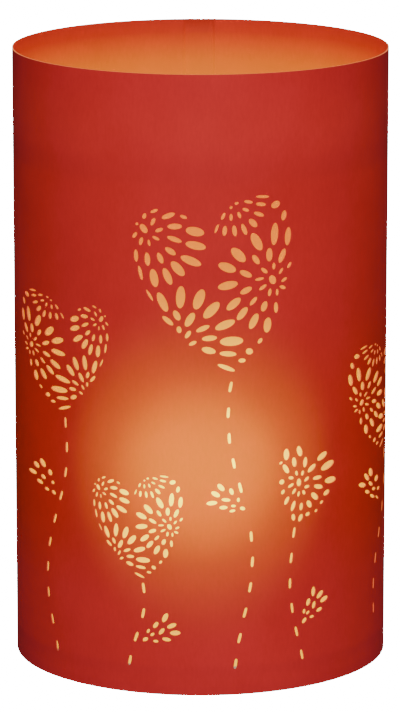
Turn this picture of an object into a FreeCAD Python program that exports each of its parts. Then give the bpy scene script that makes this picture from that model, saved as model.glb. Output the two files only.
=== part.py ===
import FreeCAD, Part
import math
import os
import Sketcher
from FreeCAD import Vector, Placement, Rotation

# Paper table lantern: a die-cut card sleeve with a parchment liner that lifts
# off a battery pillar candle.  Millimetres, +Z up, origin at the centre of
# the footprint on the table plane.  The pattern faces -Y, the seam faces +Y.

doc = FreeCAD.newDocument("table_lantern")
sheet = doc.addObject("Spreadsheet::Sheet", "Dims")

DIMS = [
    # sleeve and what is glued to it
    ("sleeve_radius", 76.0), ("sleeve_height", 250.0), ("card_thick", 0.5),
    ("flap_width", 12.0), ("flap_foot", 8.0), ("seam_slit", 0.3), ("tape_thick", 0.2),
    ("least_cut", 3.0),
    ("liner_thick", 0.25), ("liner_low", 8.0), ("liner_high", 215.0), ("liner_stop", 9.5),
    ("tape_band", 8.0),
    ("hoop_radius", 74.2), ("hoop_wire", 1.2), ("hoop_level", 3.0),
    ("dab_radius", 0.9),
    # pillar candle
    ("wax_radius", 37.5), ("wax_bore", 34.0), ("wax_foot", 1.5), ("wax_rim", 71.0),
    ("wax_rim_width", 4.0), ("wax_pool", 61.0), ("wax_ceiling", 56.0), ("wax_hole", 7.8),
    ("wax_chamfer", 1.5), ("wax_pool_slope", 63.5), ("wax_pool_radius", 30.0),
    # base
    ("cap_radius", 33.6), ("cap_low", 1.0), ("cap_thick", 2.5),
    ("foot_radius", 3.0), ("foot_across", 25.0), ("foot_deep", 15.0),
    ("door_left", 25.0), ("door_right", 23.4), ("door_half", 11.4), ("door_gap", 0.4),
    ("door_low", 1.4), ("door_thick", 1.6),
    ("barrel_across", 25.5), ("barrel_level", 2.2), ("barrel_radius", 0.9), ("barrel_half", 8.0),
    ("notch_right", 27.3), ("notch_half", 8.4),
    ("peg_radius", 0.55), ("peg_hole", 0.62), ("peg_reach", 1.8),
    ("screw_across", 17.0), ("screw_deep", 22.0), ("screw_radius", 1.0), ("screw_head", 2.4),
    ("screw_high", 12.0), ("boss_radius", 3.0), ("boss_high", 13.0),
    # housing
    ("flange_low", 3.5), ("flange_thick", 2.0),
    ("bay_half_long", 25.0), ("bay_half_wide", 11.2), ("bay_high", 14.8), ("bay_wall", 1.5),
    ("tower_radius", 10.0), ("tower_bore", 8.6), ("ledge_bore", 7.2), ("ledge_low", 45.5),
    ("ledge_high", 48.0),
    # cells and contacts
    ("cell_radius", 5.25), ("cell_long", 43.3), ("cell_offset", 5.5), ("cell_level", 9.0),
    ("nub_radius", 1.9), ("nub_long", 1.2), ("contact_thick", 0.4), ("coil_radius", 3.2),
    ("coil_wire", 0.35),
    # light unit
    ("board_radius", 8.3), ("board_thick", 1.6), ("led_radius", 2.5), ("led_flange", 2.9),
    ("led_high", 8.2),
    ("flame_collar", 8.3), ("flame_low", 51.0), ("flame_neck", 7.2), ("flame_belly", 7.9),
    ("flame_belly_level", 69.0), ("flame_shoulder", 6.3), ("flame_shoulder_level", 76.0),
    ("flame_waist", 3.4), ("flame_waist_level", 82.5), ("flame_tip", 0.7), ("flame_top", 88.0),
    ("flame_wall", 0.9),
    # switch
    ("switch_long", 14.0), ("switch_wide", 6.0), ("switch_high", 6.0), ("switch_deep", -20.0),
    ("slider_long", 3.0), ("slider_wide", 2.2), ("slider_low", 1.6), ("slider_rest", 2.0),
    ("switch_travel", 4.0),
    ("wire_radius", 0.6),
]
for row, (alias, value) in enumerate(DIMS, start=1):
    sheet.set("A%d" % row, alias)
    sheet.set("B%d" % row, repr(value))
    sheet.setAlias("B%d" % row, alias)
doc.recompute()
D = dict(DIMS)
NODES = []


def node(obj, name):
    obj.Label = name
    NODES.append(obj)
    return obj


def bind(obj, **exprs):
    for prop, expr in exprs.items():
        if prop in ("PX", "PY", "PZ"):
            obj.setExpression("Placement.Base." + prop[1].lower(), expr)
        else:
            obj.setExpression(prop, expr)
    return obj


def cyl(name, radius, height, level, across="0 mm", deep="0 mm"):
    o = doc.addObject("Part::Cylinder", name)
    return bind(o, Radius=radius, Height=height, PX=across, PY=deep, PZ=level)


def box(name, length, width, height, left, front, level):
    o = doc.addObject("Part::Box", name)
    return bind(o, Length=length, Width=width, Height=height, PX=left, PY=front, PZ=level)


def cut(name, base, tool):
    o = doc.addObject("Part::Cut", name)
    o.Base, o.Tool = base, tool
    return o


def fuse(name, shapes):
    o = doc.addObject("Part::MultiFuse", name)
    o.Shapes = shapes
    return o


def group(name, links):
    o = doc.addObject("Part::Compound", name)
    o.Links = links
    return o


def S(expr):
    # turns short sums of aliases into a sheet expression
    return " ".join(("Dims." + w) if w[0].isalpha() else w for w in expr.split())


def val(expr):
    # numeric value of a short sum of aliases, used to start each sketch near its answer
    total, sign, scale = 0.0, 1.0, 1.0
    for w in expr.split():
        if w == "+":
            sign = 1.0
        elif w == "-":
            sign = -1.0
        else:
            total += sign * (D[w] if w in D else float(w))
    return total


def origin_plane(body, role):
    return [o for o in body.Origin.OriginFeatures if o.Role == role][0]


def sketch(body, name, role, offset=None):
    sk = body.newObject("Sketcher::SketchObject", name)
    sk.AttachmentSupport = [(origin_plane(body, role), "")]
    sk.MapMode = "FlatFace"
    if offset is not None:
        sk.setExpression("AttachmentOffset.Base.z", S(offset))
    return sk


def outline(sk, points):
    # closed polygon whose corners are each placed by two sheet expressions
    first = sk.GeometryCount
    n = len(points)
    xy = [Vector(val(x), val(y), 0) for x, y in points]
    for i in range(n):
        sk.addGeometry(Part.LineSegment(xy[i], xy[(i + 1) % n]), False)
    for i in range(n):
        sk.addConstraint(Sketcher.Constraint("Coincident", first + i, 2, first + (i + 1) % n, 1))
    for i, (x, y) in enumerate(points):
        for kind, axis, e, v in (("DistanceX", -2, x, xy[i].x), ("DistanceY", -1, y, xy[i].y)):
            if e == "0":
                sk.addConstraint(Sketcher.Constraint("PointOnObject", first + i, 1, axis))
            else:
                c = sk.addConstraint(Sketcher.Constraint(kind, -1, 1, first + i, 1, v))
                sk.setExpression("Constraints[%d]" % c, S(e))


def rect(sk, left, right, low, high):
    outline(sk, [(left, low), (right, low), (right, high), (left, high)])


def disc(sk, radius, across="0", deep="0"):
    g = sk.addGeometry(Part.Circle(Vector(val(across), val(deep), 0), Vector(0, 0, 1), val(radius)), False)
    c = sk.addConstraint(Sketcher.Constraint("Radius", g, val(radius)))
    sk.setExpression("Constraints[%d]" % c, S(radius))
    if across == "0" and deep == "0":
        sk.addConstraint(Sketcher.Constraint("Coincident", g, 3, -1, 1))
        return
    c = sk.addConstraint(Sketcher.Constraint("DistanceX", -1, 1, g, 3, val(across)))
    sk.setExpression("Constraints[%d]" % c, S(across))
    c = sk.addConstraint(Sketcher.Constraint("DistanceY", -1, 1, g, 3, val(deep)))
    sk.setExpression("Constraints[%d]" % c, S(deep))


def pad(body, name, sk, length):
    f = body.newObject("PartDesign::Pad", name)
    f.Profile = sk
    f.setExpression("Length", S(length))
    body.Tip = f
    doc.recompute()
    return f


def pocket(body, name, sk, length):
    # cuts along +Z from the sketch plane and checks that something went
    before = body.Shape.Volume
    f = body.newObject("PartDesign::Pocket", name)
    f.Profile = sk
    f.setExpression("Length", S(length))
    f.Reversed = True
    body.Tip = f
    doc.recompute()
    if body.Shape.Volume > before - 1e-6:
        raise RuntimeError(name + " cut nothing")
    return f


def revolve(body, name, sk):
    f = body.newObject("PartDesign::Revolution", name)
    f.Profile = sk
    f.ReferenceAxis = (sk, ["V_Axis"])
    f.Angle = 360.0
    body.Tip = f
    doc.recompute()
    return f


def new_body(name):
    b = doc.addObject("PartDesign::Body", name)
    doc.recompute()
    return b


def raw(name, shape):
    o = doc.addObject("Part::Feature", name)
    o.Shape = shape
    o.Placement = shape.Placement
    return node(o, name)


# --- cut-out pattern --------------------------------------------------------
# Every cut-out is a petal: (across, up, length, width, tilt in degrees),
# measured from the middle of its motif on the flat card.
BIG_HEART = [
    (19.8, 34.0, 5.6, 1.3, 176), (14.0, 32.2, 3.6, 1.4, 169), (9.2, 31.8, 1.7, 1.2, 15),
    (25.3, 30.5, 4.0, 2.9, 23), (19.1, 31.0, 4.3, 1.6, 171), (7.0, 30.2, 1.3, 1.2, 24),
    (12.9, 29.1, 2.9, 1.4, 159), (-23.4, 28.6, 3.4, 1.3, 24), (3.9, 26.8, 3.1, 1.4, 65),
    (10.3, 27.1, 2.8, 1.4, 112), (-17.7, 26.9, 5.7, 2.1, 22), (18.3, 27.1, 4.5, 1.7, 160),
    (28.9, 25.9, 4.2, 2.3, 78), (7.0, 26.3, 2.9, 1.4, 91), (-27.4, 26.4, 2.5, 1.6, 69),
    (-11.7, 26.6, 2.9, 1.5, 161), (-23.9, 24.3, 3.4, 1.6, 62), (15.9, 23.7, 4.5, 2.4, 136),
    (-15.2, 22.7, 5.9, 2.4, 3), (1.3, 21.9, 3.8, 1.1, 69), (12.3, 21.3, 4.8, 1.9, 113),
    (24.9, 18.8, 9.0, 3.2, 86), (-27.7, 21.4, 4.2, 2.7, 129), (4.5, 21.0, 4.1, 1.9, 85),
    (8.4, 20.9, 4.5, 1.9, 99), (-7.2, 20.8, 7.4, 3.7, 169), (-21.4, 21.1, 3.4, 1.6, 23),
    (30.7, 17.4, 7.4, 2.8, 85), (-31.4, 18.6, 2.9, 1.5, 52), (17.4, 16.1, 8.0, 3.7, 120),
    (-15.3, 17.6, 6.1, 2.1, 162), (-22.7, 17.8, 3.2, 1.4, 157), (-28.8, 16.3, 3.4, 1.7, 72),
    (-25.5, 15.8, 2.7, 1.2, 101), (-6.9, 15.2, 8.2, 3.3, 168), (-16.9, 12.8, 4.9, 2.4, 148),
    (10.0, 11.2, 7.7, 3.8, 135), (22.7, 10.6, 5.5, 2.8, 89), (-30.9, 10.4, 5.0, 1.9, 92),
    (28.2, 9.8, 6.1, 2.5, 67), (-21.0, 9.9, 4.6, 2.3, 113), (-26.2, 9.2, 5.4, 2.4, 95),
    (-8.8, 9.1, 8.7, 3.3, 158), (17.1, 9.0, 4.6, 2.3, 126), (-14.0, 5.9, 7.4, 3.6, 132),
    (5.5, 6.3, 7.5, 3.6, 158), (24.6, 5.9, 2.8, 1.5, 89), (31.4, 5.8, 2.8, 1.4, 57),
    (-29.1, 3.6, 5.9, 1.6, 104), (-18.1, 2.7, 7.2, 3.0, 114), (20.6, 4.4, 3.4, 1.6, 141),
    (-23.5, 1.8, 7.4, 3.4, 101), (13.0, 3.5, 5.5, 2.4, 154), (27.7, 3.7, 2.9, 1.3, 55),
    (24.1, 0.5, 3.9, 2.9, 118), (18.6, 1.1, 3.8, 1.3, 7), (5.8, -0.9, 8.1, 3.4, 11),
    (29.1, 0.1, 2.9, 1.4, 30), (-12.9, -5.5, 9.1, 3.7, 86), (20.0, -2.3, 3.7, 1.5, 32),
    (13.1, -3.2, 5.2, 2.5, 24), (-5.6, -6.3, 8.6, 4.0, 69), (28.5, -2.9, 2.9, 1.5, 159),
    (22.9, -4.5, 3.2, 1.6, 81), (-25.3, -5.2, 5.2, 1.2, 122), (26.1, -4.7, 2.8, 1.3, 91),
    (-20.1, -7.7, 8.4, 3.4, 115), (8.1, -8.4, 7.0, 3.2, 40), (16.1, -7.6, 4.2, 1.8, 49),
    (-0.7, -10.7, 8.6, 3.9, 46), (20.6, -10.0, 4.3, 2.6, 69), (25.6, -10.8, 4.4, 1.9, 92),
    (11.6, -12.4, 6.3, 2.8, 51), (-14.4, -12.9, 4.4, 2.6, 119), (-9.2, -14.5, 6.4, 3.0, 60),
    (16.3, -15.7, 6.8, 3.1, 63), (-18.0, -15.1, 5.5, 2.1, 142), (4.7, -16.7, 8.4, 3.3, 21),
    (22.0, -17.6, 6.2, 3.3, 83), (-4.1, -18.1, 5.8, 2.1, 24), (-13.5, -18.6, 2.8, 2.0, 97),
    (-10.0, -20.5, 3.6, 1.7, 56), (-1.5, -22.0, 6.0, 2.3, 5), (7.3, -23.4, 9.4, 3.8, 1),
    (18.9, -23.8, 2.6, 1.7, 50), (-8.1, -24.0, 3.3, 1.6, 26), (-1.8, -26.9, 5.7, 2.7, 166),
    (14.5, -27.8, 3.1, 2.6, 159), (5.9, -28.4, 6.8, 2.2, 175), (11.5, -31.3, 3.0, 1.8, 177),
    (5.2, -34.0, 7.4, 1.8, 158), (-30.5, 23.1, 1.4, 1.2, 20),
]
SMALL_HEART = [
    (-8.3, 7.4, 4.5, 2.5, 110), (-14.2, 6.8, 4.7, 2.7, 92), (2.8, 3.9, 5.6, 2.7, 26),
    (-10.7, 3.3, 4.0, 2.2, 100), (-5.6, 2.6, 4.3, 2.1, 84), (-14.4, 1.0, 4.4, 2.1, 124),
    (5.7, -0.3, 7.3, 3.1, 18), (-2.4, -0.2, 4.7, 2.2, 35), (-9.6, -1.3, 2.1, 1.4, 111),
    (-6.8, -1.6, 2.1, 1.5, 72), (-12.1, -2.9, 2.5, 1.4, 165), (-16.2, -4.1, 2.4, 2.1, 179),
    (-4.9, -4.3, 2.7, 1.4, 35), (-8.5, -5.2, 3.2, 2.2, 92), (0.4, -4.5, 4.6, 1.7, 1),
    (-12.2, -6.0, 2.8, 1.4, 26), (7.3, -6.5, 6.1, 2.7, 179), (-4.7, -7.4, 2.6, 1.4, 3),
    (1.0, -8.2, 4.8, 1.9, 165), (-15.7, -8.2, 2.1, 1.6, 53), (-10.7, -8.5, 2.7, 1.4, 54),
    (-8.6, -9.8, 2.2, 1.3, 77), (-6.2, -9.5, 2.1, 1.5, 127), (-0.9, -11.8, 4.4, 2.3, 140),
    (5.2, -11.3, 3.4, 2.1, 22), (-14.0, -11.9, 3.6, 1.8, 60), (-11.1, -14.4, 4.3, 1.8, 70),
    (-3.6, -14.6, 3.5, 2.2, 126), (-7.4, -15.1, 3.2, 1.8, 83), (2.6, -14.8, 1.9, 1.3, 29),
    (-11.0, -19.0, 2.9, 1.9, 101), (-4.3, -18.6, 2.3, 1.7, 17), (-7.7, -19.6, 3.3, 2.0, 61),
    (-16.6, 3.6, 1.6, 1.2, 30), (-0.2, -17.8, 1.6, 1.2, 30),
]
LEAF_A = [
    (8.1, 85.4, 3.7, 2.0, 132), (6.0, 82.7, 3.8, 2.0, 150), (4.5, 79.1, 4.3, 1.8, 5),
    (12.3, 83.6, 2.9, 1.7, 112), (10.1, 80.3, 3.6, 1.5, 173), (9.1, 77.2, 3.3, 1.6, 180),
    (15.1, 80.1, 1.8, 1.3, 93), (13.1, 77.7, 2.0, 1.1, 174), (12.7, 75.7, 2.4, 1.2, 7),
    (16.8, 76.5, 2.3, 1.5, 160),
]
LEAF_B = [
    (-75.0, 87.2, 4.9, 2.8, 156), (-80.1, 85.4, 4.9, 2.3, 171), (-83.6, 81.9, 7.4, 1.9, 0),
    (-69.7, 84.3, 3.0, 2.5, 170), (-74.6, 81.5, 3.6, 1.8, 173), (-77.3, 79.0, 5.0, 1.7, 175),
    (-67.9, 80.5, 2.1, 1.5, 5), (-72.0, 77.0, 3.2, 1.4, 179), (-67.3, 76.5, 2.8, 1.6, 166),
]
LEAF_C = [
    (-14.2, 31.8, 4.2, 2.0, 63), (-18.0, 28.6, 3.2, 1.7, 53), (-11.5, 28.6, 4.1, 1.9, 25),
    (-15.6, 26.1, 3.4, 1.6, 52), (-10.1, 25.7, 4.3, 2.1, 5), (-21.1, 25.9, 2.1, 1.2, 60),
    (-19.4, 24.6, 2.1, 1.2, 38), (-22.3, 22.4, 2.6, 1.6, 30), (-13.6, 22.9, 3.6, 1.7, 173),
    (-18.0, 21.9, 2.2, 1.3, 1),
]
LEAF_D = [
    (48.4, 38.9, 4.1, 2.1, 87), (51.8, 37.1, 4.2, 2.2, 40), (54.0, 34.8, 4.3, 2.2, 21),
    (45.9, 34.9, 3.2, 2.1, 69), (48.7, 33.3, 3.2, 1.9, 72), (51.5, 30.9, 3.2, 1.7, 14),
    (43.9, 31.4, 2.1, 1.5, 92), (45.7, 30.6, 2.0, 1.4, 32), (47.7, 28.6, 2.3, 1.3, 0),
    (44.0, 27.6, 2.8, 1.8, 43),
]
LEAF_E = [
    (86.1, 80.9, 4.6, 3.2, 145), (82.3, 79.7, 5.5, 2.2, 144), (92.7, 76.9, 4.5, 2.6, 2),
    (78.5, 77.2, 6.1, 2.0, 166), (86.2, 76.1, 4.5, 1.7, 156), (83.0, 73.4, 4.5, 1.6, 163),
    (89.6, 73.2, 3.9, 1.5, 171), (95.4, 72.1, 3.6, 1.5, 179), (88.1, 70.5, 5.5, 1.4, 159),
    (93.8, 68.7, 4.1, 1.1, 153),
]

# Stem dashes: (across, up, tilt) on the flat card.
STEM_A = [(11.9, 126.0, 79), (11.0, 115.6, 86), (11.4, 105.2, 93), (13.2, 95.0, 101),
          (15.9, 85.0, 104), (18.7, 74.9, 101), (20.4, 64.8, 94), (20.9, 54.4, 86),
          (20.0, 44.0, 80), (17.9, 33.7, 75), (15.7, 23.3, 77), (14.1, 12.8, 82)]
STEM_B = [(-59.8, 106.6, 93), (-59.1, 96.6, 89), (-59.9, 86.2, 78), (-62.7, 76.1, 68),
          (-66.6, 65.9, 69), (-70.1, 55.6, 73), (-71.7, 45.0, 84), (-71.4, 34.3, 96),
          (-68.8, 23.6, 104), (-65.7, 13.0, 100)]
STEM_C = [(-23.0, 43.5, 97), (-23.2, 33.1, 78), (-26.2, 23.1, 70), (-28.9, 13.1, 79)]
STEM_D = [(38.9, 64.6, 81), (37.7, 54.3, 83), (37.2, 43.9, 89), (38.2, 33.6, 98),
          (40.3, 23.6, 104), (42.9, 13.6, 103)]
STEM_E = [(106.0, 84.5, 92), (106.0, 73.5, 85), (102.4, 63.0, 74), (96.9, 53.3, 68),
          (92.2, 43.6, 74), (90.0, 33.4, 86), (90.3, 23.0, 94)]
DASH = (4.3, 1.3)

# Each flower: motif, middle across and up, scale, turn, mirrored,
# widening of its two sides, stem, leaf.
FRONT = [
    (BIG_HEART, 5.0, 167.6, 0.995, 0.0, False, (1.0, 1.0), STEM_A, LEAF_A),
    (BIG_HEART, -57.9, 135.4, 0.665, 5.0, True, (1.62, 0.98), STEM_B, LEAF_B),
    (BIG_HEART, -27.4, 69.3, 0.607, -1.5, False, (0.94, 1.03), STEM_C, LEAF_C),
    (SMALL_HEART, 49.7, 90.1, 1.01, 0.0, False, (1.0, 1.0), STEM_D, LEAF_D),
    (BIG_HEART, 102.5, 112.6, 0.66, 5.0, True, (1.58, 1.35), STEM_E, LEAF_E),
]


def place_petals(motif, across, up, scale, turn, mirrored, wide):
    # the hearts at the sides are drawn wider on one lobe: wide is (left, right)
    ca, sa = math.cos(math.radians(turn)), math.sin(math.radians(turn))
    placed = []
    for a, u, length, width, tilt in motif:
        if mirrored:
            a, tilt = -a, 180.0 - tilt
        x, z = scale * (a * ca - u * sa), scale * (a * sa + u * ca)
        k = wide[0] if x < 0 else wide[1]
        t = math.radians(tilt + turn)
        # the petal's own ellipse, stretched sideways by k
        l2, w2 = (scale * length) ** 2, (scale * width) ** 2
        p = k * k * (l2 * math.cos(t) ** 2 + w2 * math.sin(t) ** 2)
        q = k * (l2 - w2) * math.sin(t) * math.cos(t)
        r = l2 * math.sin(t) ** 2 + w2 * math.cos(t) ** 2
        m, d = (p + r) / 2, math.hypot((p - r) / 2, q)
        placed.append((across + k * x, up + z, math.sqrt(m + d), math.sqrt(max(m - d, 1e-6)),
                       math.degrees(0.5 * math.atan2(2 * q, p - r))))
    return placed


def all_cuts():
    # the cut-outs that carry the pattern: shorter ones are perforations too
    # fine to change the card's stiffness or mass and are left solid here
    cuts = []
    for motif, across, up, scale, turn, mirrored, wide, stem, leaf in FRONT:
        cuts += place_petals(motif, across, up, scale, turn, mirrored, wide)
        cuts += leaf
        cuts += [(a, u, DASH[0], DASH[1], tilt) for a, u, tilt in stem]
    return [c for c in cuts if c[2] >= D["least_cut"]]


def petal_cutter(across, up, length, width, tilt, radius):
    # a faceted petal pushed straight through the card along its own radius
    ang = across / radius
    out = Vector(math.sin(ang), -math.cos(ang), 0)
    side = Vector(math.cos(ang), math.sin(ang), 0)
    ca, sa = math.cos(math.radians(tilt)), math.sin(math.radians(tilt))
    along = side * ca + Vector(0, 0, sa)
    over = Vector(0, 0, ca) - side * sa
    n = 6
    mid = out * (radius - 3.0) + Vector(0, 0, up)
    grow = 1.06
    pts = [mid + along * (0.5 * grow * length * math.cos(2 * math.pi * k / n))
           + over * (0.5 * grow * width * math.sin(2 * math.pi * k / n)) for k in range(n)]
    return Part.Face(Part.makePolygon(pts + [pts[0]])).extrude(out * 6.0)


def arc_strip(r_in, r_out, low, high, start, stop):
    # part of a tube between two angles, in degrees from -Y, turning towards +X
    s = Part.makeCylinder(r_out, high - low, Vector(0, 0, low), Vector(0, 0, 1), stop - start)
    s = s.cut(Part.makeCylinder(r_in, high - low, Vector(0, 0, low), Vector(0, 0, 1), 360))
    s.rotate(Vector(0, 0, 0), Vector(0, 0, 1), start - 90.0)
    return s


sheet_r, card = D["sleeve_radius"], D["card_thick"]
bore_r = sheet_r - card
deg = 180.0 / (math.pi * sheet_r)
flap_a = 180.0 - 0.5 * D["flap_width"] * deg
flap_b = 180.0 + 0.5 * D["flap_width"] * deg
slit = D["seam_slit"] * deg
tape_r = bore_r - D["tape_thick"]
sleeve = arc_strip(bore_r, sheet_r, 0.0, D["sleeve_height"], flap_b, flap_b + 360.0 - slit)
flap = arc_strip(tape_r - card, tape_r, D["flap_foot"], D["sleeve_height"], flap_a, flap_b + 1.2 * deg)
joggle = arc_strip(tape_r - card, bore_r + 0.5 * card, D["flap_foot"], D["sleeve_height"],
                   flap_b + 0.4 * deg, flap_b + 1.2 * deg)
sleeve = sleeve.fuse([flap, joggle]).removeSplitter()
cutters = [petal_cutter(a, u, l, w, g, sheet_r) for a, u, l, w, g in all_cuts()]
solid_volume = sleeve.Volume
sleeve = sleeve.cut(cutters)
if sleeve.Volume > 0.99 * solid_volume:
    raise RuntimeError("the pattern cut too little")
if sleeve.ShapeType == "Compound" and len(sleeve.Solids) == 1:
    sleeve = sleeve.Solids[0]
raw("lantern_sleeve", sleeve)

raw("sleeve_seam_tape", arc_strip(tape_r, bore_r, 10.0, D["sleeve_height"] - 2.0,
                                  flap_a + 0.6 * deg, flap_b - 1.0 * deg))
stop_a = -180.0 + D["liner_stop"] * deg
stop_b = 180.0 - D["liner_stop"] * deg
raw("inner_liner", arc_strip(tape_r - D["liner_thick"], tape_r, D["liner_low"], D["liner_high"], stop_a, stop_b))
raw("liner_tape_top", arc_strip(tape_r, bore_r, D["liner_high"] - D["tape_band"], D["liner_high"], stop_a, stop_b))
raw("liner_tape_bottom", arc_strip(tape_r, bore_r, D["liner_low"], D["liner_low"] + 0.45 * D["tape_band"], stop_a, stop_b))

hoop = doc.addObject("Part::Torus", "hoop_ring")
bind(hoop, Radius1=S("hoop_radius"), Radius2=S("hoop_wire"), PZ=S("hoop_level"))
node(hoop, "bottom_hoop")

dabs = []
for k in range(8):
    ang = math.radians(22.5 + 45.0 * k)
    d = Part.makeSphere(D["dab_radius"] * 1.35)
    d.translate(Vector((bore_r - 0.9) * math.sin(ang), -(bore_r - 0.9) * math.cos(ang),
                       D["hoop_level"] + D["hoop_wire"] + 0.2))
    d = d.common(Part.makeCylinder(bore_r, 20.0))
    ring = Part.makeTorus(D["hoop_radius"], D["hoop_wire"], Vector(0, 0, D["hoop_level"]))
    dabs.append(d.cut(ring))
raw("hoop_glue_dabs", Part.makeCompound(dabs))

# --- wax shell --------------------------------------------------------------
wax = new_body("wax_shell_body")
sk = sketch(wax, "wax_profile", "XZ_Plane")
outline(sk, [("wax_bore", "wax_foot"), ("wax_radius - wax_chamfer", "wax_foot"),
             ("wax_radius", "wax_foot + wax_chamfer"), ("wax_radius", "wax_rim - wax_chamfer"),
             ("wax_radius - wax_chamfer", "wax_rim"), ("wax_radius - wax_rim_width", "wax_rim"),
             ("wax_pool_radius", "wax_pool_slope"), ("wax_hole", "wax_pool"),
             ("wax_hole", "wax_ceiling"), ("wax_bore", "wax_ceiling")])
revolve(wax, "wax_turn", sk)
node(wax, "wax_shell")

# --- flame ------------------------------------------------------------------
flame = new_body("flame_body")
sk = sketch(flame, "flame_profile", "XZ_Plane")
outline(sk, [("flame_neck - flame_wall", "flame_low"), ("flame_collar", "flame_low"),
             ("flame_collar", "flame_low + 1.4"), ("flame_neck", "flame_low + 1.4"),
             ("flame_neck", "wax_pool"), ("flame_belly", "flame_belly_level"),
             ("flame_shoulder", "flame_shoulder_level"), ("flame_waist", "flame_waist_level"),
             ("flame_tip", "flame_top - 0.8"), ("0", "flame_top"), ("0", "flame_top - 2.2"),
             ("flame_waist - flame_wall", "flame_waist_level"),
             ("flame_shoulder - flame_wall", "flame_shoulder_level"),
             ("flame_belly - flame_wall", "flame_belly_level")])
revolve(flame, "flame_turn", sk)
node(flame, "flame_lens")

# --- base cap ---------------------------------------------------------------
cap = new_body("base_cap_body")
sk = sketch(cap, "cap_disc", "XY_Plane", "cap_low")
disc(sk, "cap_radius")
pad(cap, "cap_pad", sk, "cap_thick")
sk = sketch(cap, "cap_door_opening", "XY_Plane", "cap_low")
outline(sk, [("0 - door_left", "0 - door_half"), ("door_right", "0 - door_half"),
             ("door_right", "0 - notch_half"), ("notch_right", "0 - notch_half"),
             ("notch_right", "notch_half"), ("door_right", "notch_half"),
             ("door_right", "door_half"), ("0 - door_left", "door_half")])
pocket(cap, "cap_door_pocket", sk, "cap_thick")
sk = sketch(cap, "cap_slider_slot", "XY_Plane", "cap_low")
rect(sk, "0 - 4", "4", "switch_deep - 1.5", "switch_deep + 1.5")
pocket(cap, "cap_slider_pocket", sk, "cap_thick")
for i, (sx, sy) in enumerate(((1, 1), (-1, 1), (-1, -1), (1, -1))):
    ax = "screw_across" if sx > 0 else "0 - screw_across"
    ay = "screw_deep" if sy > 0 else "0 - screw_deep"
    sk = sketch(cap, "cap_screw_%d" % i, "XY_Plane", "cap_low")
    disc(sk, "screw_radius + 0.15", ax, ay)
    pocket(cap, "cap_screw_hole_%d" % i, sk, "cap_thick")
    sk = sketch(cap, "cap_sink_%d" % i, "XY_Plane", "cap_low")
    disc(sk, "screw_head + 0.2", ax, ay)
    pocket(cap, "cap_screw_sink_%d" % i, sk, "1.4")
sk = sketch(cap, "cap_peg_holes", "XZ_Plane", "0 - notch_half - peg_reach - 0.4")
disc(sk, "peg_hole", "barrel_across", "barrel_level")
before = cap.Shape.Volume
f = cap.newObject("PartDesign::Pocket", "cap_peg_bore")
f.Profile = sk
f.Length = 2.0 * (D["notch_half"] + D["peg_reach"] + 0.4)
f.setExpression("Length", "2 * (Dims.notch_half + Dims.peg_reach + 0.4)")
f.Reversed = True
cap.Tip = f
doc.recompute()
if cap.Shape.Volume > before - 0.5:
    f.Reversed = False
    doc.recompute()
if cap.Shape.Volume > before - 0.5:
    raise RuntimeError("hinge bore cut nothing")
node(cap, "base_cap")

# --- battery door: plate, tongue, barrel and pegs ----------------------------
plate = box("door_plate", S("door_left + door_right - door_gap - door_gap"),
            "2 * (Dims.door_half - Dims.door_gap)", S("door_thick"),
            "-(Dims.door_left - Dims.door_gap)", "-(Dims.door_half - Dims.door_gap)", S("door_low"))
tongue = box("door_tongue", S("barrel_across - door_right + 1"), "2 * Dims.barrel_half",
             S("door_thick"), S("door_right - 1"), "-Dims.barrel_half", S("door_low"))
barrel = cyl("door_barrel", S("barrel_radius"), "2 * Dims.barrel_half", S("barrel_level"),
             S("barrel_across"), "Dims.barrel_half")
barrel.Placement.Rotation = Rotation(Vector(1, 0, 0), 90)
pegs = cyl("door_pegs", S("peg_radius"), "2 * (Dims.notch_half + Dims.peg_reach)", S("barrel_level"),
           S("barrel_across"), "Dims.notch_half + Dims.peg_reach")
pegs.Placement.Rotation = Rotation(Vector(1, 0, 0), 90)
door = fuse("door_fused", [plate, tongue, barrel, pegs])
grip = box("door_grip_slot", "1.2 mm", "9 mm", "0.6 mm", "-(Dims.door_left - 2.6)", "-4.5 mm", S("door_low"))
node(cut("door_cut", door, grip), "battery_door")

# --- housing: flange, battery bay and light tower ----------------------------
flange = cyl("housing_flange", S("cap_radius"), S("flange_thick"), S("flange_low"))
bay = box("housing_bay", "2 * (Dims.bay_half_long + Dims.bay_wall)", "2 * (Dims.bay_half_wide + Dims.bay_wall)",
          S("bay_high + bay_wall - flange_low"), "-(Dims.bay_half_long + Dims.bay_wall)",
          "-(Dims.bay_half_wide + Dims.bay_wall)", S("flange_low"))
tower = cyl("housing_tower", S("tower_radius"), S("wax_ceiling - bay_high"), S("bay_high"))
bosses = [cyl("housing_boss_%d" % i, S("boss_radius"), S("boss_high - flange_low"), S("flange_low"),
              "%d * Dims.screw_across" % sx, "%d * Dims.screw_deep" % sy)
          for i, (sx, sy) in enumerate(((1, 1), (-1, 1), (-1, -1), (1, -1)))]
outer = fuse("housing_outer", [flange, bay, tower] + bosses)
hollow = box("housing_hollow", "2 * Dims.bay_half_long", "2 * Dims.bay_half_wide",
             S("bay_high - flange_low"), "-Dims.bay_half_long", "-Dims.bay_half_wide", S("flange_low"))
shaft = cyl("housing_shaft", S("tower_bore"), S("ledge_low - bay_high - bay_wall"), S("bay_high + bay_wall"))
throat = cyl("housing_throat", S("ledge_bore"), S("ledge_high - ledge_low"), S("ledge_low"))
lamp_seat = cyl("housing_lamp_seat", S("tower_bore"), S("wax_ceiling - ledge_high"), S("ledge_high"))
wire_door = box("housing_wire_door", "24 mm", "4 mm", "5 mm", "-12 mm", "-2 mm", S("bay_high + bay_wall"))
slot = box("housing_switch_slot", "8 mm", "3 mm", S("flange_thick"), "-4 mm", S("switch_deep - 1.5"), S("flange_low"))
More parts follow.
